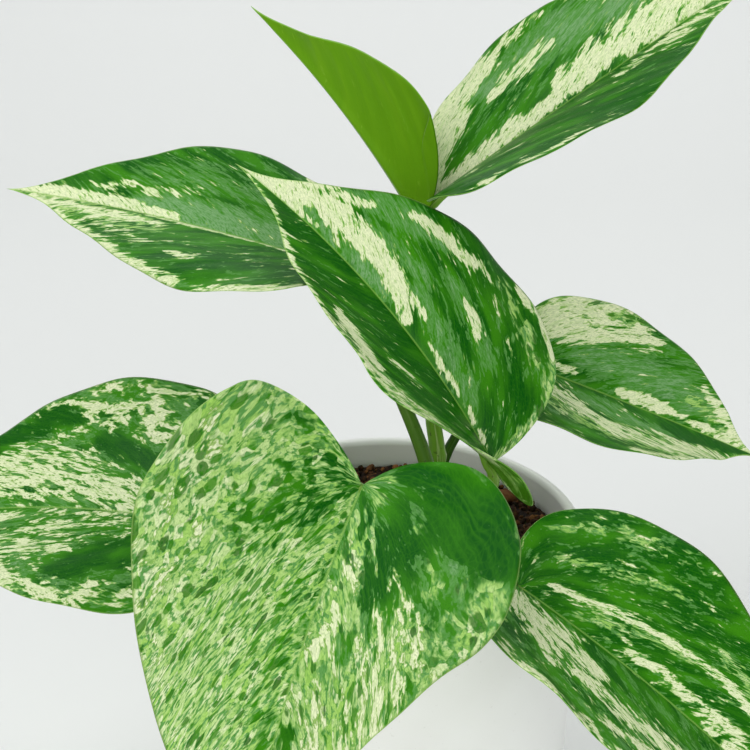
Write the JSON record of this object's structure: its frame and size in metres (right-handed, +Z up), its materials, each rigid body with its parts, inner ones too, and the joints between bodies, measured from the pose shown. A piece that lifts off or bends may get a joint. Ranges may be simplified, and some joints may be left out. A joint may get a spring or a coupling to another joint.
{
  "type": "potted pothos plant",
  "caption": "Young variegated pothos with heart-shaped leaves on slender stalks, in potting mix, in a plain white glazed round pot.",
  "frame": {"origin": "centre of the pot's flat foot, on the surface it stands on", "axes": "+Z up along the pot's axis; the plant is seen from -Y, so +X is to the viewer's right"},
  "size_m": [0.248, 0.2193, 0.2565],
  "materials": {
    "pot_glaze": "gloss",
    "potting_mix": "matte",
    "stalk_green": "satin",
    "leaf_variegated": "satin",
    "leaf_young": "satin"
  },
  "bodies": {
    "root": {"pot": "pot_glaze", "soil": "potting_mix", "stem": "stalk_green", "stalk_front": "stalk_green", "stalk_centre": "stalk_green", "stalk_upper_left": "stalk_green", "stalk_right": "stalk_green", "stalk_left": "stalk_green", "stalk_front_right": "stalk_green", "stalk_top_right": "stalk_green", "stalk_young": "stalk_green", "leaf_front": "leaf_variegated", "leaf_centre": "leaf_variegated", "leaf_upper_left": "leaf_variegated", "leaf_top_right": "leaf_variegated", "leaf_right": "leaf_variegated", "leaf_left": "leaf_variegated", "leaf_front_right": "leaf_variegated", "leaf_young": "leaf_young"}
  },
  "joints": []
}
